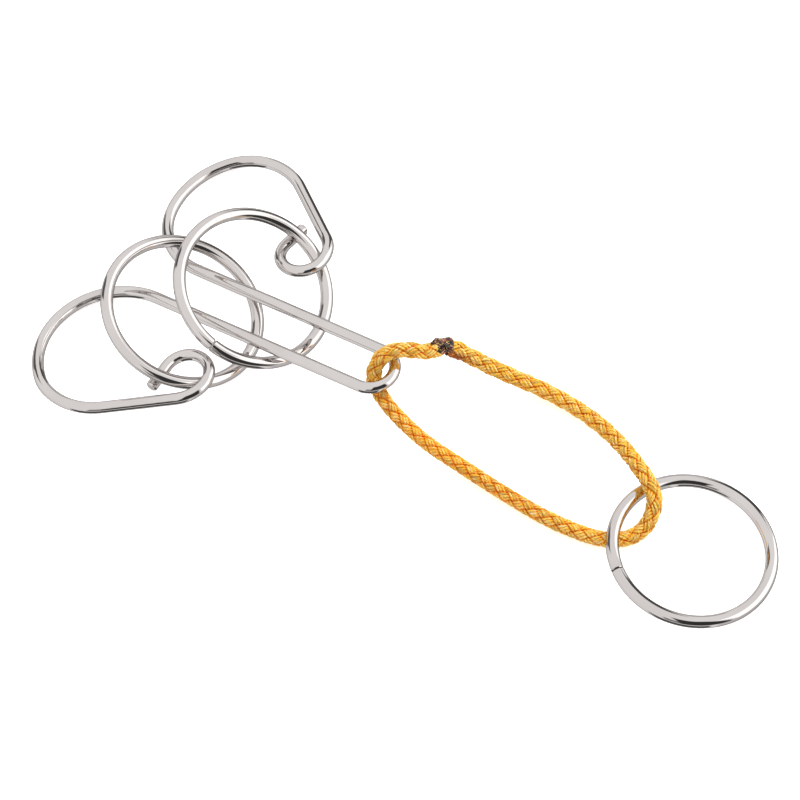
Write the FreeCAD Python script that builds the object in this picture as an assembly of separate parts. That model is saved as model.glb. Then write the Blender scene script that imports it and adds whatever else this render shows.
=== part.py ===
import FreeCAD, Part
import math
import os
from FreeCAD import Rotation, Vector

# Wire ring disentanglement puzzle, lying at rest on a table.
#
# One bent wire makes the frame: a long narrow hairpin whose two legs open out into a D-shaped loop
# each, and each D loop ends in a small curled eye. A ring hangs in each eye and both rings also
# go round the hairpin. A cord loop passes through the end of the hairpin, round its wire, and
# carries the third ring. The puzzle is to work the cord and its ring off the frame.
#
# Frame of the part: millimetres, +Z up, the table at Z = 0. +X runs along the hairpin from the
# eyes to the cord's ring, and the origin is under the middle of the object.

# ---- Stock ---------------------------------------------------------------------------------
WIRE_D = 2.8
WIRE_R = WIRE_D / 2
RING_OUTER_D = 40.0
RING_WIRE_D = 3.0                         # the rings are of slightly heavier wire than the frame
RING_R = (RING_OUTER_D - RING_WIRE_D) / 2  # radius of a ring's centre line
CORD_D = 4.1
END_CHAMFER = 0.35                        # broken edge on the cut ends of the frame's wire
SEAM_GAP = 0.16                           # slit where the two ends of a ring butt together
SEAM_CHAMFER = 0.18

# ---- Frame wire ----------------------------------------------------------------------------
HAIRPIN_CENTRE = Vector(-15.0, 0.0, 11.95)  # centre of the hairpin's bend
HAIRPIN_R = 5.55                           # half the distance between the two legs
HAIRPIN_PITCH = 8.45                       # the hairpin end is propped up on the rings
HAIRPIN_ROLL = -1.05
LEG_TAPER = 0.1                            # the legs close up very slightly towards the loops
EYE_LIFT_R = 12.0                          # bend that sets each eye a little out of its loop
EYE_LIFT = 5.0

# Each loop is the bending schedule of one half of the wire, from the hairpin outwards: the leg,
# the (radius, angle) bends of the D, the straight that closes it, the bends of the eye, the tip.
NEAR_LOOP = {
    "leg": 56.3,
    "d_bends": [(18.3, 140.0), (9.8, 15.0), (15.3, 59.7)],
    "straight": 17.0,
    "eye_bends": [(8.3, 47.3), (5.6, 186.8)],
    "tip": 6.6,
}
FAR_LOOP = {
    "leg": 52.4,
    "d_bends": [(15.6, 76.8), (20.2, 54.8), (14.5, 84.9)],
    "straight": 16.2,
    "eye_bends": [(7.6, 67.9), (5.4, 176.2)],
    "tip": 6.2,
}

# ---- Rings: centre, tilt from level, direction of the low side, seam angle (degrees) ----------
RINGS = {
    "near_eye_ring": (Vector(-62.06, -7.75, 8.02), 20.0, 20.7, 17.0),
    "far_eye_ring": (Vector(-50.66, 5.45, 9.80), 24.9, 5.8, -89.5),
    "pull_ring": (Vector(70.24, 0.65, 3.90), 7.3, 44.1, 231.5),
}

# ---- Cord: a closed loop of braid whose two ends are melted together in the splice ------------
ARC_SHARE = 0.45                          # how much of the shorter run an arc takes up
ON_TABLE = CORD_D / 2 + 0.05              # height of the cord's centre where it lies on the table
CORD_ROUTE = [
    (-4.0, 11.5, 13.5),                   # leaves the splice
    (-5.5, 8.5, 15.0),
    (-8.6, 6.6, 16.5),                    # over the hairpin's bend
    (-11.5, 4.5, 16.6),
    (-13.4, 2.5, 15.6),
    (-14.2, 0.5, 13.0),                   # down through the hairpin
    (-13.7, -1.4, 10.0),
    (-11.4, -2.7, 8.0),                   # out under its bend
    (-5.8, -5.0, 6.5),
    (3.7, -6.7, 4.0),                     # down to the table
    (12.1, -7.0, 3.0),
    (25.0, -7.9, ON_TABLE),
    (37.3, -8.6, ON_TABLE),
    (48.1, -7.5, ON_TABLE),
    (53.6, -5.4, ON_TABLE),               # under the pull ring
    (56.9, -2.2, 2.5),
    (58.3, 0.9, 4.0),                     # up through the pull ring
    (58.0, 5.0, 6.8),
    (55.6, 7.8, 8.4),                     # over it
    (50.6, 10.6, 9.0),
    (42.9, 15.7, 5.5),
    (32.6, 19.7, 3.0),                    # touches the table
    (20.6, 20.7, 2.5),
    (9.3, 18.3, 4.9),                     # rises to the splice
    (3.7, 16.7, 7.9),
    (0.0, 15.0, 11.0),
]

# The melted bead: (share of the way through it, radius), from the cord's last end to its first.
SPLICE_SECTIONS = [(0.0, 2.15), (0.2, 2.5), (0.45, 2.8), (0.75, 2.6), (1.0, 2.2)]
SPLICE_REACH = 2.0                        # how far each end's direction carries into the bead


class WireBender:
    """Follows a wire through a bending schedule: feed it, bend it, or roll it about itself."""

    def __init__(self, point, heading, side):
        self.point = Vector(point)
        self.heading = Vector(heading)
        self.side = Vector(side)          # the side that the next bend turns towards
        self.edges = []

    def feed(self, length):
        start = Vector(self.point)
        self.point = start + self.heading * length
        self.edges.append(Part.LineSegment(start, self.point).toShape())

    def bend(self, radius, angle):
        centre = self.point + self.side * radius
        axis = self.heading.cross(self.side)
        half_way = centre + Rotation(axis, angle / 2).multVec(self.point - centre)
        end = centre + Rotation(axis, angle).multVec(self.point - centre)
        self.edges.append(Part.Arc(self.point, half_way, end).toShape())
        turn = Rotation(axis, angle)
        self.heading = turn.multVec(self.heading)
        self.side = turn.multVec(self.side)
        self.point = end

    def roll(self, angle):
        self.side = Rotation(self.heading, angle).multVec(self.side)


def sweep_round(path_edges, diameter):
    """A round bar of the given diameter along a path."""
    path = Part.Wire(path_edges)
    first = path.OrderedEdges[0]
    start = first.valueAt(first.FirstParameter)
    direction = first.tangentAt(first.FirstParameter)
    if first.Orientation == "Reversed":
        start = first.valueAt(first.LastParameter)
        direction = first.tangentAt(first.LastParameter) * -1
    profile = Part.Wire([Part.makeCircle(diameter / 2, start, direction)])
    bar = path.makePipeShell([profile], True, False)
    return bar


def end_rims(shape, ends, radius):
    """The circular edges round the cut ends of a bar, near the given points."""
    rims = []
    for edge in shape.Edges:
        circle = isinstance(edge.Curve, Part.Circle) and abs(edge.Curve.Radius - radius) < 1e-3
        if circle and any(edge.Curve.Center.distanceToPoint(end) < 1e-3 for end in ends):
            rims.append(edge)
    return rims


def hairpin_axes():
    """Unit vectors along the hairpin, across it and square to both."""
    along = Rotation(Vector(0, 1, 0), -HAIRPIN_PITCH).multVec(Vector(1, 0, 0))
    across = Rotation(along, HAIRPIN_ROLL).multVec(Vector(0, 1, 0))
    return along, across


def bend_half(loop, hand):
    """One half of the frame's wire, from the tip of the hairpin: hand is 1 for the far half."""
    along, across = hairpin_axes()
    tip_of_hairpin = HAIRPIN_CENTRE + along * HAIRPIN_R
    wire = WireBender(tip_of_hairpin, across * hand, along * -1)
    wire.bend(HAIRPIN_R, 90 - LEG_TAPER)
    wire.feed(loop["leg"])
    wire.roll(180)
    for radius, angle in loop["d_bends"]:
        wire.bend(radius, angle)
    wire.feed(loop["straight"])
    wire.roll(-90 * hand)
    wire.bend(EYE_LIFT_R, EYE_LIFT)
    wire.roll(90 * hand)
    for radius, angle in loop["eye_bends"]:
        wire.bend(radius, angle)
    wire.feed(loop["tip"])
    return wire


def make_wire_frame():
    near = bend_half(NEAR_LOOP, -1)
    far = bend_half(FAR_LOOP, 1)
    path = list(reversed(near.edges)) + far.edges
    bar = sweep_round(Part.__sortEdges__(path), WIRE_D)
    rims = end_rims(bar, [near.point, far.point], WIRE_R)
    return bar.makeChamfer(END_CHAMFER, rims)


def make_ring(centre, tilt, low_side, seam):
    """A ring bent from round wire, open by a hair at its butt seam."""
    gap_angle = math.degrees(SEAM_GAP / RING_R)
    ring = Part.makeTorus(RING_R, RING_WIRE_D / 2, Vector(), Vector(0, 0, 1), -180, 180,
                          360 - gap_angle)
    flat_faces = [face for face in ring.Faces if isinstance(face.Surface, Part.Plane)]
    rims = [edge for face in flat_faces for edge in face.Edges]
    ring = ring.makeChamfer(SEAM_CHAMFER, rims)
    ring.rotate(Vector(), Vector(0, 0, 1), seam)
    across_low_side = Rotation(Vector(0, 0, 1), low_side).multVec(Vector(0, 1, 0))
    ring.rotate(Vector(), across_low_side, tilt)
    ring.translate(centre)
    return ring


def rounded_route(points):
    """Straight runs joined by tangent arcs, each as large as its two runs allow."""
    edges = []
    radii = []
    reached = points[0]
    for before, corner, after in zip(points, points[1:], points[2:]):
        run_in = corner - before
        run_out = after - corner
        half_turn = run_in.getAngle(run_out) / 2
        setback = ARC_SHARE * min(run_in.Length, run_out.Length)
        radius = setback / math.tan(half_turn)
        inward = (run_out.normalize() - run_in.normalize()).normalize()
        arc_start = corner - run_in * setback
        arc_middle = corner + inward * (radius / math.cos(half_turn) - radius)
        arc_end = corner + run_out * setback
        edges.append(Part.LineSegment(reached, arc_start).toShape())
        edges.append(Part.Arc(arc_start, arc_middle, arc_end).toShape())
        radii.append(radius)
        reached = arc_end
    edges.append(Part.LineSegment(reached, points[-1]).toShape())
    return edges, radii


def make_cord(route):
    """The cord as a plain round tube; prints its bend radii and compares its volume."""
    path_edges, radii = rounded_route(route)
    cord = sweep_round(path_edges, CORD_D)
    length = sum(edge.Length for edge in path_edges)
    expected_volume = math.pi * (CORD_D / 2) ** 2 * length
    print("cord length", round(length, 1), "volume over section times length",
          round(cord.Volume / expected_volume, 4))
    print("cord bend radii", [round(radius, 1) for radius in radii])
    return cord


def make_splice(route):
    """The melted bead that joins the cord's last end to its first, a little thicker than it."""
    heading_in = (route[-1] - route[-2]).normalize()
    heading_out = (route[1] - route[0]).normalize()
    middle_line = Part.BezierCurve()
    middle_line.setPoles([route[-1], route[-1] + heading_in * SPLICE_REACH,
                          route[0] - heading_out * SPLICE_REACH, route[0]])
    sections = []
    for share, radius in SPLICE_SECTIONS:
        centre = middle_line.value(share)
        direction = middle_line.tangent(share)[0]
        sections.append(Part.Wire([Part.makeCircle(radius, centre, direction)]))
    return Part.makeLoft(sections, True)


def main():
    os.makedirs("parts", exist_ok=True)
    route = [Vector(*point) for point in CORD_ROUTE]
    nodes = {"wire_frame": make_wire_frame()}
    for name, (centre, tilt, low_side, seam) in RINGS.items():
        nodes[name] = make_ring(centre, tilt, low_side, seam)
    nodes["cord_loop"] = make_cord(route)
    nodes["melted_splice"] = make_splice(route)
    for name, shape in nodes.items():
        shape.exportStep("parts/" + name + ".step")
        print(name, "valid", shape.isValid(), "solids", len(shape.Solids),
              "volume", round(shape.Volume, 1))


main()
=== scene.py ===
import math

import bmesh
import bpy
import numpy as np
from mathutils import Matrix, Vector, noise


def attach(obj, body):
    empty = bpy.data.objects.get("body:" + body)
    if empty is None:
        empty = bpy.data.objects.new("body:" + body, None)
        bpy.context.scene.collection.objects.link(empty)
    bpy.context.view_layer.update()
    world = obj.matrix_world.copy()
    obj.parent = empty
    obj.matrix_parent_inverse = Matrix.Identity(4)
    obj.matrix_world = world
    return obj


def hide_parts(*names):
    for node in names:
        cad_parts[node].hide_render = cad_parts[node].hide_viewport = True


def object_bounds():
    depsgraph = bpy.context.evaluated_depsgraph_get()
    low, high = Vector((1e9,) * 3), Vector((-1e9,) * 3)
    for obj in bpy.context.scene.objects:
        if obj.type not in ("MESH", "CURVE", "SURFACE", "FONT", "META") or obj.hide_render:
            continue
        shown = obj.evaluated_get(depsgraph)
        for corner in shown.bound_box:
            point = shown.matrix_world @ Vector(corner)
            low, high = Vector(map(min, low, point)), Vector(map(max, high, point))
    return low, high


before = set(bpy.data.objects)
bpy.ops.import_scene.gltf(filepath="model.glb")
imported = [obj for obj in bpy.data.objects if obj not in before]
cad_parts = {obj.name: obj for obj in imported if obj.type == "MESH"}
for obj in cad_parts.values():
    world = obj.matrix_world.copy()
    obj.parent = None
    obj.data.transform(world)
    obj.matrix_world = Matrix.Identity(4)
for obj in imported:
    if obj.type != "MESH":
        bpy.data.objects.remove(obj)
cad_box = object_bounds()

# Ring disentanglement puzzle: bright plated wire, and a loop of golden braided cord whose two
# ends are melted together. Lengths are in millimetres and become metres with MM, apart from those
# said to be in metres.
MM = 0.001
TURN = 2 * math.pi

# ---- Camera -----------------------------------------------------------------------------------
CAMERA_AZIMUTH = math.radians(31.12)      # round from the object's front, towards +X
CAMERA_ELEVATION = math.radians(60)
CAMERA_DISTANCE = 0.982                   # metres
CAMERA_REACH = 20                         # metres, the furthest that it shows
CAMERA_LENS = 189                         # a long lens, for a frame 36 wide
AIM_OFFSET = (-8.44, 2.15)                # from the middle of the object's box

# ---- Cord -------------------------------------------------------------------------------------
CORD_D = 4.1
ON_TABLE = CORD_D / 2 + 0.05
CORD_ROUTE = [
    (-4.0, 11.5, 13.5),                   # leaves the splice
    (-5.5, 8.5, 15.0),
    (-8.6, 6.6, 16.5),                    # over the hairpin's bend
    (-11.5, 4.5, 16.6),
    (-13.4, 2.5, 15.6),
    (-14.2, 0.5, 13.0),                   # down through the hairpin
    (-13.7, -1.4, 10.0),
    (-11.4, -2.7, 8.0),                   # out under its bend
    (-5.8, -5.0, 6.5),
    (3.7, -6.7, 4.0),                     # down to the table
    (12.1, -7.0, 3.0),
    (25.0, -7.9, ON_TABLE),
    (37.3, -8.6, ON_TABLE),
    (48.1, -7.5, ON_TABLE),
    (53.6, -5.4, ON_TABLE),               # under the pull ring
    (56.9, -2.2, 2.5),
    (58.3, 0.9, 4.0),                     # up through the pull ring
    (58.0, 5.0, 6.8),
    (55.6, 7.8, 8.4),                     # over it
    (50.6, 10.6, 9.0),
    (42.9, 15.7, 5.5),
    (32.6, 19.7, 3.0),                    # touches the table
    (20.6, 20.7, 2.5),
    (9.3, 18.3, 4.9),                     # rises to the splice
    (3.7, 16.7, 7.9),
    (0.0, 15.0, 11.0),
]
ROUTE_STEPS = 24                          # points on the line for each stretch of its route

# ---- Braid: four carriers wound each way, over one and under one ------------------------------
CARRIERS = 4                              # each way
YARNS = 3                                 # lying side by side in a carrier
YARN_R = 0.345
BRAID_LAY = [(0, 15.9), (90, 15.9), (108, 18.4)]  # place, length of one turn of a carrier there
BRAID_GIRTH = [                           # place, how full the braid is there
    (18, 0.99), (28, 0.91), (66, 0.91), (76, 0.96), (96, 0.97), (106, 1.0), (150, 1.0), (158, 1.04)]
BRAID_R = 1.07                            # middle radius of the carriers
BRAID_WAVE = 0.43                         # how far a carrier rises and dips about it
WAVE_SNAP = 1.5                           # how sharply it goes from over to under
CARRIER_CROWN = 0.18                      # how far a carrier's middle yarn stands above its edges
CARRIER_COVER = 0.86                      # share of the room round the cord that a carrier fills
YARN_STRAY = 0.025                        # how far a yarn strays sideways, as a share of that room
STRAY_LENGTH = 4.0                        # over about this length of cord
YARN_LIFT = 0.05                          # how far it rises and sinks by itself
LIFT_LENGTH = 2.5
LIFT_SEED = 50                            # added to a yarn's seed for its rise
CORE_R = 0.8
CORE_SIDES = 10
CORE_STRIDE = 3                           # it needs only every third point of the line
YARN_STEPS = 560
YARN_SIDES = 6
SEED_STEP = 7.13                          # sets the random lines of two yarns apart
FIBRE_SEED = 7
FIBRE_SPREAD = 40                         # sets the fibres of one yarn apart from the next one's

# Where the braid goes into the melted bead.
START_OVERRUN = 2.6                       # how far the yarns run on into it
END_OVERRUN = 3.3
START_PINCH = 0.56                        # how full the braid is where it begins
START_TAPER = 2.5                         # length over which it fills out
END_SWELL = 0.09                          # the braid is spread by this much at its end
END_SWELL_FROM = (1.5, 6.0)
END_PINCH = 0.2                           # and drawn in again over the last stretch
END_TAPER = 1.0

# ---- Scorched yarn beside the bead ------------------------------------------------------------
BURNT_START = (0.3, 0.9)                  # burnt up to the first place, clean from the second
BURNT_END = (0.1, 0.9)                    # the same, counted back from the cord's end
BURNT_END_SHARE = 0.75
UNDERSIDE = (0.25, -0.75, -0.6)           # the side that the flame reached
UNDERSIDE_RANGE = (-0.3, 1.3)             # from clean to burnt, measured that way from the line
UNDERSIDE_END = (3.2, 8.8)

# ---- Melted bead ------------------------------------------------------------------------------
SPLICE_REACH = 2.0
SPLICE_SECTIONS = 72
SPLICE_SIDES = 40
SPLICE_LINE_STEPS = 61
BEAD_OVERLAP = 2.8                        # how far it reaches over the cord's first end
BEAD_R = 1.30                             # under the yarns, where it hardly shows
BEAD_MIN_R = 0.05
BEAD_RISE = 1.42                          # what it stands above that on its upper side
BEAD_TOP = (-0.18, 0.30, 0.935)           # where its upper side faces
TOP_SLOPE = 0.8                           # how fast the rise falls off round it
TOP_LEVEL = 0.3                           # the rise halfway round
RISE_START = (2.0, 3.0)                   # where the rise begins and is full, from the bead's start
RISE_END = (2.8, 0.3)                     # where it wanes and is gone, back from the bead's end
ROUNDED_START = (-0.4, 0.5)               # the bead's ends are rounded off over these lengths
ROUNDED_END = (0.9, -0.1)
BUMP_HEIGHT = 0.32
BUMPS_PER_MM = 0.7
BUMP_DETAIL = (1.0, 2.0, 4)               # roughness, step in size and number of sizes
RIDGE_DEPTH = 0.2
RIDGES_PER_MM = 1.4
RIDGE_PLACE = 9                           # moves the ridges' pattern away from the bumps'
SMOOTH_SHARE = 0.3                        # how much of the bumps is left away from the rise
DROPS = [                                 # place along, radius, offset from the line
    (6.9, 0.45, (-0.50, 0.80, 2.30)),
    (7.6, 0.40, (-0.40, 0.65, 2.05)),
    (2.3, 0.36, (0.80, -1.30, 1.25)),
    (3.6, 0.36, (0.80, -1.30, -0.25)),
]
DROP_LINE_POINTS = 59                     # how far their line runs on over the cord's first end
DROP_UNEVENNESS = 0.2
DROP_BUMPS_PER_MM = 1.5

# ---- Colours: ramps of (place, colour) --------------------------------------------------------
PLATE = [(0.3, (0.70, 0.665, 0.65)), (0.7, (0.76, 0.73, 0.715))]
# the yarn's golden tones along its filaments; the palest stop also serves as a painted highlight,
# left whole only on the crests by the painted shade
YARN_BODY_AND_HIGHLIGHT = [(0.32, (0.80, 0.36, 0.010)), (0.5, (0.87, 0.54, 0.045)), (0.68, (0.89, 0.81, 0.46))]
YARN_PAINTED_SHADE = [                            # painted shade on the yarn's colour: dark red-orange in the gaps, fading to none on the crests
    (0.0, (0.60, 0.02, 0.0)), (0.40, (0.90, 0.13, 0.0)), (0.64, (1.0, 0.60, 0.20)),
    (0.9, (1.0, 1.0, 1.0))]
YARN_BURNT = [
    (0.3, (0.04, 0.008, 0.004)), (0.48, (0.34, 0.035, 0.012)), (0.72, (0.72, 0.20, 0.03))]
CHAR = [(0.40, (0.004, 0.003, 0.004)), (0.54, (0.06, 0.015, 0.020)), (0.66, (0.30, 0.08, 0.015))]
# amber where the melt is thin; its specks also stand in as painted glints
AMBER_AND_PAINTED_GLINT = (0.90, 0.55, 0.17)
FLOOR = [(0.0, (0.90, 0.90, 0.90)), (1.0, (0.93, 0.93, 0.93))]
PLATE_EDGE = (0.28, 0.27, 0.28, 1)        # what the plate mirrors at a glancing angle
YARN_PAINTED_GLOW = (1.0, 0.24, 0.0, 1)           # painted glow: orange light that the yarn gives off, standing in for light that comes through the nylon
YARN_SHEEN = (1.0, 0.85, 0.5, 1)
FLOOR_GLOW = (1, 0.965, 0.955, 1)
TENT_CLOTH = (1.0, 0.99, 0.985, 1)
MARKS_APART = 0.31                        # metres, so that no two wires have the same marks

# ---- Surroundings -----------------------------------------------------------------------------
FLOOR_HALF = 3.0                          # metres
LAMP_SIZE = 0.7                           # metres
LAMP_POWER = 14                           # watts
LAMP_PLACE = (0.15, 0.75, 1.0)            # metres
# What the bright metal mirrors. Each panel is (brightness, azimuths, elevations, soft edge) in
# degrees: azimuth from the front, towards the right.
TENT_GLOW = 0.91
TABLE_GLOW = 0.87
TABLE_EDGE = (-8, -2)                     # elevations between which the table turns into the tent
TENT_PANELS = [
    (0.60, (35, 140), (-90, -6), 6),      # the table on the right
    (1.55, (55, 128), (-1, 49), 4),       # softbox
    (0.42, (160, 182), (3, 16), 4),       # foot of the tent at the back
    (0.08, (-40, 20), (-62, -20), 5),     # shade under the front of the wires
    (0.25, (-20, 0), (-6, 20), 5),        # side of the opening
    (0.04, (-3, 44), (-4, 57), 6),        # opening at the front
    (0.08, (142, 157), (-20, 38), 4),     # gaps beside the softbox and the left wall
    (0.12, (-135, -119), (-8, 36), 4),
]


def smoothstep(x, low, high):
    """0 at low, 1 at high and smooth between them; low may be the larger one."""
    t = np.clip((x - low) / (high - low), 0, 1)
    return t * t * (3 - 2 * t)


# ---- Camera and line of the cord --------------------------------------------------------------
def make_camera():
    low, high = cad_box
    middle = (low + high) / 2
    aim = Vector((middle.x + AIM_OFFSET[0] * MM, middle.y + AIM_OFFSET[1] * MM, 0))
    level = CAMERA_DISTANCE * math.cos(CAMERA_ELEVATION)
    away = Vector((level * math.sin(CAMERA_AZIMUTH), -level * math.cos(CAMERA_AZIMUTH),
                   CAMERA_DISTANCE * math.sin(CAMERA_ELEVATION)))
    camera = bpy.data.objects.new("camera", bpy.data.cameras.new("camera"))
    camera.data.lens = CAMERA_LENS
    camera.data.clip_end = CAMERA_REACH
    camera.location = aim + away
    camera.rotation_euler = (-away).to_track_quat("-Z", "Y").to_euler()
    bpy.context.scene.collection.objects.link(camera)
    bpy.context.scene.camera = camera


def cord_line():
    """The smooth line of the cord, in metres, read from the NURBS spline of its route."""
    curve = bpy.data.curves.new("cord_route", "CURVE")
    curve.dimensions = "3D"
    spline = curve.splines.new("NURBS")
    spline.points.add(len(CORD_ROUTE) - 1)
    for point, place in zip(spline.points, CORD_ROUTE):
        point.co = (*[c * MM for c in place], 1)
    spline.order_u = 3
    spline.use_endpoint_u = True
    spline.resolution_u = ROUTE_STEPS
    holder = bpy.data.objects.new("cord_route", curve)
    mesh = bpy.data.meshes.new_from_object(holder)
    line = np.array([v.co for v in mesh.vertices])
    bpy.data.meshes.remove(mesh)
    bpy.data.objects.remove(holder)
    bpy.data.curves.remove(curve)
    return line


def frames_along(line):
    """Distance along a line, and the two directions square to it, carried along without twist."""
    tangent = np.gradient(line, axis=0)
    tangent /= np.linalg.norm(tangent, axis=1)[:, None]
    along = distance_along(line)
    side = np.zeros_like(line)
    side[0] = np.cross(tangent[0], (0, 0, 1))
    side[0] /= np.linalg.norm(side[0])
    for i in range(1, len(line)):
        carried = side[i - 1] - tangent[i] * (side[i - 1] @ tangent[i])
        side[i] = carried / np.linalg.norm(carried)
    return along, side, np.cross(tangent, side)


def distance_along(line):
    return np.concatenate([[0], np.cumsum(np.linalg.norm(np.diff(line, axis=0), axis=1))])


def at(distance, along, values):
    """Values given along a line, read at other distances along it."""
    return np.stack([np.interp(distance, along, values[:, k]) for k in range(3)], axis=1)


# ---- Meshes -----------------------------------------------------------------------------------
def tube_faces(steps, sides, first):
    """Quads of a tube whose rings of points follow each other from index first."""
    ring = np.arange(steps - 1)[:, None] * sides + first
    turn = np.arange(sides)[None, :]
    after = (turn + 1) % sides
    return np.stack([ring + turn, ring + after, ring + sides + after, ring + sides + turn],
                    axis=2).reshape(-1, 4)


def tube_points(centre, radius, sides):
    """Rings of points round a line."""
    _, side, up = frames_along(centre)
    angle = np.arange(sides) * 2 * math.pi / sides
    out = side[:, None] * np.cos(angle)[None, :, None] + up[:, None] * np.sin(angle)[None, :, None]
    return (centre[:, None] + out * radius).reshape(-1, 3)


def new_piece(name, points, faces, attributes=()):
    """A smooth mesh object from points in metres, with named values on its points."""
    mesh = bpy.data.meshes.new(name)
    mesh.from_pydata(points.tolist(), [], faces)
    for key, kind, values in attributes:
        stored = mesh.attributes.new(key, kind, "POINT")
        stored.data.foreach_set("vector" if kind == "FLOAT_VECTOR" else "value",
                                values.astype(np.float32).ravel())
    mesh.polygons.foreach_set("use_smooth", [True] * len(mesh.polygons))
    mesh.update()
    piece = bpy.data.objects.new(name, mesh)
    bpy.context.scene.collection.objects.link(piece)
    return piece


def slow_wander(seed, distance, wavelength):
    """A smooth random value from -1 to 1 along a length, the same each run."""
    return np.array([noise.noise(Vector((d / wavelength, seed * SEED_STEP, 0.5)))
                     for d in distance])


def splice_line(line):
    """The smooth line through the bead, from the cord's last end back to its first."""
    first, last = line[0], line[-1]
    out = (line[1] - first) / np.linalg.norm(line[1] - first)
    on = (last - line[-2]) / np.linalg.norm(last - line[-2])
    poles = [last, last + on * SPLICE_REACH * MM, first - out * SPLICE_REACH * MM, first]
    t = np.linspace(0, 1, SPLICE_LINE_STEPS)[:, None]
    return ((1 - t) ** 3 * poles[0] + 3 * (1 - t) ** 2 * t * poles[1]
            + 3 * (1 - t) * t ** 2 * poles[2] + t ** 3 * poles[3])


def splice_line_and_on(line, points):
    """The line through the bead and on over some points of the cord's first end."""
    return np.concatenate([splice_line(line), line[1:1 + points]])


# ---- Cord -------------------------------------------------------------------------------------
def run_on(line):
    """The line of the cord with both ends carried on into the bead."""
    through = splice_line(line)
    gone = distance_along(through) / MM
    before = through[(gone > gone[-1] - START_OVERRUN) & (gone < gone[-1])]
    after = through[(gone > 0) & (gone < END_OVERRUN)]
    return np.concatenate([before, line, after])


def fullness(gone, left):
    """How full the braid is along its length; gone and left are counted from its two ends."""
    girth = np.interp(gone - START_OVERRUN, *zip(*BRAID_GIRTH))
    start = START_PINCH + (1 - START_PINCH) * smoothstep(gone, 0.0, START_TAPER)
    swell = END_SWELL * (1 - smoothstep(left, *END_SWELL_FROM))
    return girth * start * (1 + swell - END_PINCH * (1 - smoothstep(left, 0.0, END_TAPER)))


def over_and_under(hand, across, turned):
    """Distance from the cord's line of a yarn that lies this far across its carrier."""
    height = hand * np.cos(turned * CARRIERS + hand * math.pi * across)
    height = np.tanh(WAVE_SNAP * height) / math.tanh(WAVE_SNAP)
    crown = CARRIER_CROWN * (1 - (2 * across) ** 2) * (0.5 + 0.5 * height)
    return BRAID_R + BRAID_WAVE * height + crown


def yarn_paths(line):
    """For each yarn of the braid: its centre line, and the cord's line beside each of its points."""
    along, side, up = frames_along(line)
    distance = np.linspace(0, along[-1], YARN_STEPS)
    centre, out_side, out_up = (at(distance, along, v) for v in (line, side, up))
    gone = distance / MM
    lay = np.interp(gone - START_OVERRUN, *zip(*BRAID_LAY))
    turned = TURN * np.cumsum(gone[1] / lay)
    full = fullness(gone, (along[-1] - distance) / MM)
    for hand in (1, -1):
        for carrier in range(CARRIERS):
            for yarn in range(YARNS):
                seed = 100 * hand + 10 * carrier + yarn
                across = ((yarn + 0.5) / YARNS - 0.5) * CARRIER_COVER
                shift = across + YARN_STRAY * slow_wander(seed, gone, STRAY_LENGTH)
                angle = hand * turned + (carrier + shift) * TURN / CARRIERS
                radius = over_and_under(hand, across, turned)
                radius += YARN_LIFT * slow_wander(seed + LIFT_SEED, gone, LIFT_LENGTH)
                out = out_side * np.cos(angle)[:, None] + out_up * np.sin(angle)[:, None]
                yield centre + out * (radius * full * MM)[:, None], centre, gone


def make_cord(line):
    """The braid, with how far each point stands out, its place along its yarn and its scorching."""
    points, faces, middles, lays = [], [], [], []
    count = 0
    rng = np.random.default_rng(FIBRE_SEED)
    for path, centre, gone in yarn_paths(run_on(line)):
        points.append(tube_points(path, YARN_R * MM, YARN_SIDES))
        faces.append(tube_faces(YARN_STEPS, YARN_SIDES, count))
        middles.append(np.repeat(centre, YARN_SIDES, axis=0))
        round_share = np.tile(np.arange(YARN_SIDES) / YARN_SIDES, YARN_STEPS)
        start = np.full(len(round_share), rng.random() * FIBRE_SPREAD)
        lays.append(np.stack([np.repeat(gone, YARN_SIDES), round_share, start], axis=1))
        count += YARN_STEPS * YARN_SIDES
    core = line[::CORE_STRIDE]
    points.append(tube_points(core, CORE_R * MM, CORE_SIDES))
    faces.append(tube_faces(len(core), CORE_SIDES, count))
    middles.append(np.repeat(core, CORE_SIDES, axis=0))
    lays.append(np.zeros((len(core) * CORE_SIDES, 3)))
    points, middles, lays = (np.concatenate(v) for v in (points, middles, lays))
    out = (points - middles) / MM
    return new_piece("braided_cord", points, np.concatenate(faces).tolist(), [
        ("rise", "FLOAT", np.linalg.norm(out, axis=1)), ("lay", "FLOAT_VECTOR", lays),
        ("scorch", "FLOAT", scorching(lays[:, 0], out))])


def scorching(gone, out):
    """0 where the yarn is clean and 1 where it is burnt: most on the underside past the bead."""
    start = 1 - smoothstep(gone, *BURNT_START)
    left = gone.max() - gone
    underside = smoothstep(out @ np.array(UNDERSIDE), *UNDERSIDE_RANGE)
    end = BURNT_END_SHARE * (1 - smoothstep(left, *BURNT_END))
    return np.clip(start + end + (1 - smoothstep(left, *UNDERSIDE_END)) * underside, 0, 1)


# ---- Splice -----------------------------------------------------------------------------------
def bead_radius(rings, out, here, length):
    """How far each point of the bead is from its line, with its place here along the bead."""
    top = np.clip(out @ np.array(BEAD_TOP) * TOP_SLOPE + TOP_LEVEL, 0, 1)
    lump = smoothstep(here, *RISE_START)
    lump *= 1 - smoothstep(here, length - RISE_END[0], length - RISE_END[1])
    bumps = np.array([noise.fractal(Vector(p / MM * BUMPS_PER_MM), *BUMP_DETAIL) for p in rings])
    ridges = np.array([abs(noise.noise(Vector(p / MM * RIDGES_PER_MM + RIDGE_PLACE)))
                       for p in rings])
    radius = BEAD_R + BEAD_RISE * lump * top
    radius += (BUMP_HEIGHT * bumps - RIDGE_DEPTH * ridges) * (
        SMOOTH_SHARE + (1 - SMOOTH_SHARE) * lump)
    radius *= smoothstep(here, *ROUNDED_START)
    radius *= 1 - smoothstep(here, length - ROUNDED_END[0], length - ROUNDED_END[1])
    return np.maximum(radius, BEAD_MIN_R)


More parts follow.
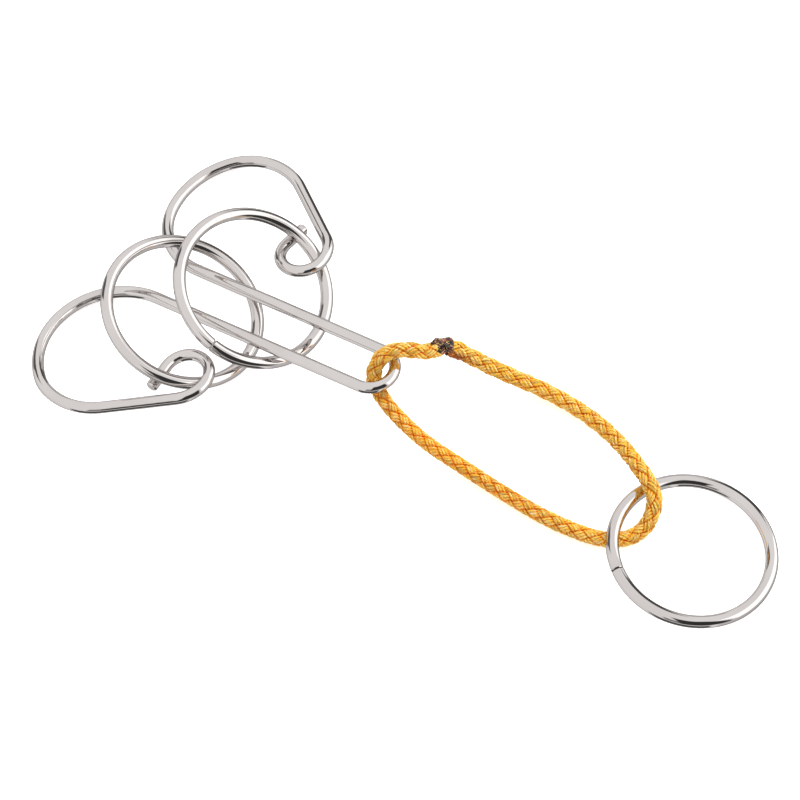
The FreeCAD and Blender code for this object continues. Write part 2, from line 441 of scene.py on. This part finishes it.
def end_caps(first, last, tip, tail):
    """Triangles that close a tube from its first and last rings to the points tip and tail."""
    turn = range(SPLICE_SIDES)
    pairs = [(a, (a + 1) % SPLICE_SIDES) for a in turn]
    return ([(first + b, first + a, tip) for a, b in pairs]
            + [(last + a, last + b, tail) for a, b in pairs])


def make_splice(line):
    """The melted bead between the cord's two ends: a lumpy mass that stands up on its top side."""
    overlap = np.linalg.norm(line[1:] - line[0], axis=1) < BEAD_OVERLAP * MM
    through = splice_line_and_on(line, int(np.argmin(overlap)))
    along = distance_along(through)
    place = np.linspace(0, along[-1], SPLICE_SECTIONS)
    centre = at(place, along, through)
    rings = tube_points(centre, MM, SPLICE_SIDES)
    middle = np.repeat(centre, SPLICE_SIDES, axis=0)
    out = (rings - middle) / MM
    here = np.repeat(place / MM, SPLICE_SIDES)
    radius = bead_radius(rings, out, here, along[-1] / MM)
    points = middle + out * (radius * MM)[:, None]
    caps = end_caps(0, len(points) - SPLICE_SIDES, len(points), len(points) + 1)
    points = np.concatenate([points, centre[:1], centre[-1:]])
    faces = tube_faces(SPLICE_SECTIONS, SPLICE_SIDES, 0).tolist() + caps
    bead = new_piece("melted_bead", points, faces)
    add_drops(bead.data, line)
    return bead


def add_drops(mesh, line):
    """Small beads of melt spat out beside the large one."""
    through = splice_line_and_on(line, DROP_LINE_POINTS)
    work = bmesh.new()
    work.from_mesh(mesh)
    for along, radius, offset in DROPS:
        place = at([along * MM], distance_along(through), through)[0]
        drop = bmesh.ops.create_icosphere(work, subdivisions=3, radius=radius * MM)["verts"]
        for vert in drop:
            bump = noise.noise(vert.co / MM * DROP_BUMPS_PER_MM + Vector(place / MM))
            vert.co *= 1 + DROP_UNEVENNESS * bump
            vert.co += Vector(place) + Vector(offset) * MM
    for face in work.faces:
        face.smooth = True
    work.to_mesh(mesh)
    work.free()


# ---- Materials --------------------------------------------------------------------------------
class Nodes:
    """A short way to write a node tree: each call adds a node and links what it is given."""

    def __init__(self, tree):
        self.tree = tree
        tree.nodes.clear()

    def feed(self, socket, value):
        if isinstance(value, bpy.types.NodeSocket):
            self.tree.links.new(value, socket)
        else:
            socket.default_value = value

    def add(self, kind, settings=None, **inputs):
        """A node; an input is given by its number (i0, i1) or its name with _ for each space."""
        node = self.tree.nodes.new(kind)
        for key, value in (settings or {}).items():
            setattr(node, key, value)
        for key, value in inputs.items():
            numbered = key[0] == "i" and key[1:].isdigit()
            self.feed(node.inputs[int(key[1:]) if numbered else key.replace("_", " ")], value)
        return node

    def math(self, operation, *values):
        pairs = {f"i{k}": v for k, v in enumerate(values)}
        return self.add("ShaderNodeMath", {"operation": operation}, **pairs).outputs[0]

    def ramp(self, factor, stops):
        node = self.add("ShaderNodeValToRGB", i0=factor)
        elements = node.color_ramp.elements
        while len(elements) < len(stops):
            elements.new(0.5)
        for element, (position, colour) in zip(elements, stops):
            element.position = position
            element.color = (*colour, 1)
        return node.outputs[0]

    def noise(self, scale, detail=3.0, vector=None, roughness=0.5):
        inputs = {"Scale": scale, "Detail": detail, "Roughness": roughness}
        if vector is not None:
            inputs["Vector"] = vector
        return self.add("ShaderNodeTexNoise", **inputs).outputs[0]

    def remap(self, value, low, high, to_low=0.0, to_high=1.0, smooth=False):
        kind = {"interpolation_type": "SMOOTHSTEP"} if smooth else None
        return self.add("ShaderNodeMapRange", kind, i0=value, i1=low, i2=high, i3=to_low,
                        i4=to_high).outputs[0]

    def mix(self, factor, first, second, blend="MIX"):
        node = self.add("ShaderNodeMix", {"data_type": "RGBA", "blend_type": blend}, i0=factor)
        for index, colour in ((6, first), (7, second)):
            self.feed(node.inputs[index], (*colour, 1) if isinstance(colour, tuple) else colour)
        return node.outputs[2]

    def attribute(self, name, output="Fac"):
        return self.add("ShaderNodeAttribute", {"attribute_name": name}).outputs[output]

    def bump(self, height, strength, distance):
        return self.add("ShaderNodeBump", Strength=strength, Distance=distance,
                        Height=height).outputs[0]

    def surface(self, **inputs):
        shader = self.add("ShaderNodeBsdfPrincipled", **inputs)
        self.add("ShaderNodeOutputMaterial", Surface=shader.outputs[0])


def new_material(name):
    material = bpy.data.materials.new(name)
    material.use_nodes = True
    return material, Nodes(material.node_tree)


def plated_wire(name, shift):
    """Bright nickel plate: nearly a mirror, with faint drawing marks, handling haze and specks."""
    material, n = new_material(name)
    place = n.add("ShaderNodeTexCoord").outputs["Object"]
    place = n.add("ShaderNodeMapping", Vector=place, Location=(shift, 0, 0)).outputs[0]
    haze = n.noise(90, 4, place)
    specks = n.noise(1400, 2, place)
    ripple = n.noise(260, 2, place)
    relief = n.math("ADD", ripple, n.math("MULTIPLY", specks, 0.04))
    n.surface(Base_Color=n.ramp(haze, PLATE), Metallic=1.0, Specular_Tint=PLATE_EDGE,
              Roughness=n.remap(haze, 0.35, 0.75, 0.02, 0.06), Normal=n.bump(relief, 0.35, 0.00006))
    return material


def braid_yarn():
    """Golden nylon yarn: silky where it stands proud, with painted shade that makes it red-orange
    down in the gaps, a faint painted orange glow, and pale filaments that also serve as painted
    highlights.
    """
    material, n = new_material("golden_yarn")
    lay = n.attribute("lay", "Vector")
    along, turn, start = n.add("ShaderNodeSeparateXYZ", Vector=lay).outputs
    stretched = n.add("ShaderNodeCombineXYZ", X=n.math("MULTIPLY", along, 0.45),
                      Y=n.math("MULTIPLY", turn, 6.0), Z=start).outputs[0]
    filaments = n.noise(1.5, 3, stretched, 0.6)
    twist = n.math("ADD", n.math("MULTIPLY", turn, 4.0), n.math("MULTIPLY", along, 1.6))
    ply = n.math("SINE", n.math("MULTIPLY", n.math("ADD", twist, start), TURN))
    height = n.remap(n.attribute("rise"), 0.9, 1.9)
    # painted shade: the yarn's colour is darkened and turned red-orange by how deep it lies in the
    # braid
    colour = n.mix(1.0, n.ramp(filaments, YARN_BODY_AND_HIGHLIGHT), n.ramp(height, YARN_PAINTED_SHADE), "MULTIPLY")
    patches = n.remap(n.noise(900, 2), 0.3, 0.55, 0.4, 1.0)
    burnt_share = n.math("MULTIPLY", n.attribute("scorch"), patches)
    colour = n.mix(burnt_share, colour, n.ramp(filaments, YARN_BURNT))
    relief = n.math("ADD", n.math("MULTIPLY", ply, 0.6), filaments)
    # the yarn's faint orange emission is a painted glow
    n.surface(Base_Color=colour, Roughness=n.remap(height, 0.45, 0.85, 0.75, 0.32),
              Specular_IOR_Level=0.38, Sheen_Weight=0.05, Sheen_Roughness=0.4,
              Sheen_Tint=YARN_SHEEN, Emission_Color=YARN_PAINTED_GLOW, Emission_Strength=0.07,
              Normal=n.bump(relief, 0.9, 0.00012))
    return material


def charred_nylon():
    """Nylon that has melted and charred: black and glossy, with amber specks where it is thin that
    also serve as painted glints.
    """
    material, n = new_material("charred_nylon")
    place = n.add("ShaderNodeTexCoord").outputs["Object"]
    burnt = n.ramp(n.noise(560, 4, place, 0.65), CHAR)
    # amber specks: partly the melt's own colour, partly painted glints
    specks = n.remap(n.noise(2300, 3, place, 0.6), 0.57, 0.67)
    roughness = n.remap(n.noise(900, 2, place), 0.3, 0.7, 0.05, 0.28)
    lumps = n.noise(1100, 2, place)
    n.surface(Base_Color=n.mix(specks, burnt, AMBER_AND_PAINTED_GLINT), Roughness=roughness,
              Specular_IOR_Level=0.3, Coat_Weight=0.5, Coat_Roughness=0.03,
              Normal=n.bump(lumps, 0.6, 0.00022))
    return material


def pale_floor():
    material, n = new_material("pale_floor")
    n.surface(Base_Color=n.ramp(n.noise(600, 2), FLOOR), Roughness=0.7, Specular_IOR_Level=0.2,
              Emission_Color=FLOOR_GLOW, Emission_Strength=0.62)
    return material


# ---- Floor, tent and lamp ---------------------------------------------------------------------
def make_floor():
    corners = [(x * FLOOR_HALF, y * FLOOR_HALF, 0) for x, y in ((-1, -1), (1, -1), (1, 1), (-1, 1))]
    floor = new_piece("floor", np.array(corners), [(0, 1, 2, 3)])
    floor.data.materials.append(pale_floor())
    floor.visible_glossy = False


def window(n, value, low, high, soft):
    """1 between two angles in degrees, fading out over soft degrees past them."""
    low, high, soft = (math.radians(a) for a in (low, high, soft))
    rise = n.remap(value, low - soft, low, 0.0, 1.0, True)
    fall = n.remap(value, high, high + soft, 1.0, 0.0, True)
    return n.math("MULTIPLY", rise, fall)


def make_world():
    """A light tent: pale cloth, a bright softbox at the right, an open dark front and a low gap."""
    world = bpy.data.worlds.new("tent")
    world.use_nodes = True
    bpy.context.scene.world = world
    n = Nodes(world.node_tree)
    direction = n.add("ShaderNodeTexCoord").outputs["Generated"]
    front = (math.sin(CAMERA_AZIMUTH), -math.cos(CAMERA_AZIMUTH), 0)
    right = (math.cos(CAMERA_AZIMUTH), math.sin(CAMERA_AZIMUTH), 0)
    towards = [n.add("ShaderNodeVectorMath", {"operation": "DOT_PRODUCT"}, i0=direction,
                     i1=axis).outputs["Value"] for axis in (front, right)]
    azimuth = n.math("ARCTAN2", towards[1], towards[0])
    height = n.add("ShaderNodeSeparateXYZ", Vector=direction).outputs[2]
    elevation = n.math("ARCSINE", height)
    edge = [math.radians(a) for a in TABLE_EDGE]
    light = n.remap(elevation, *edge, TABLE_GLOW, TENT_GLOW, True)
    for glow, azimuths, elevations, soft in TENT_PANELS:
        panel = n.math("MULTIPLY", window(n, azimuth, *azimuths, soft),
                       window(n, elevation, *elevations, soft))
        change = n.math("SUBTRACT", glow, light)
        light = n.math("ADD", light, n.math("MULTIPLY", panel, change))
    seen = n.add("ShaderNodeLightPath").outputs["Is Camera Ray"]
    strength = n.math("ADD", n.math("MULTIPLY", light, n.math("SUBTRACT", 1.0, seen)), seen)
    background = n.add("ShaderNodeBackground", Color=TENT_CLOTH, Strength=strength)
    n.add("ShaderNodeOutputWorld", Surface=background.outputs[0])


def make_key_light():
    """One large soft lamp from behind and to the right."""
    data = bpy.data.lights.new("key", "AREA")
    data.size = LAMP_SIZE
    data.energy = LAMP_POWER
    lamp = bpy.data.objects.new("key", data)
    lamp.visible_glossy = False
    lamp.location = LAMP_PLACE
    lamp.rotation_euler = (-Vector(LAMP_PLACE)).to_track_quat("-Z", "Y").to_euler()
    bpy.context.scene.collection.objects.link(lamp)


# ---- Scene ------------------------------------------------------------------------------------
make_camera()
cord_points = cord_line()
cord = make_cord(cord_points)
cord.data.materials.append(braid_yarn())
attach(cord, "cord")
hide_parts("cord_loop")

bead = make_splice(cord_points)
bead.data.materials.append(charred_nylon())
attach(bead, "cord")
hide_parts("melted_splice")

for index, node in enumerate(["wire_frame", "near_eye_ring", "far_eye_ring", "pull_ring"]):
    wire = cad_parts[node]
    material = plated_wire("plated_" + node, index * MARKS_APART)
    wire.data.materials.clear()
    wire.data.materials.append(material)

make_floor()
make_world()
make_key_light()
bpy.context.scene.view_settings.view_transform = "Standard"
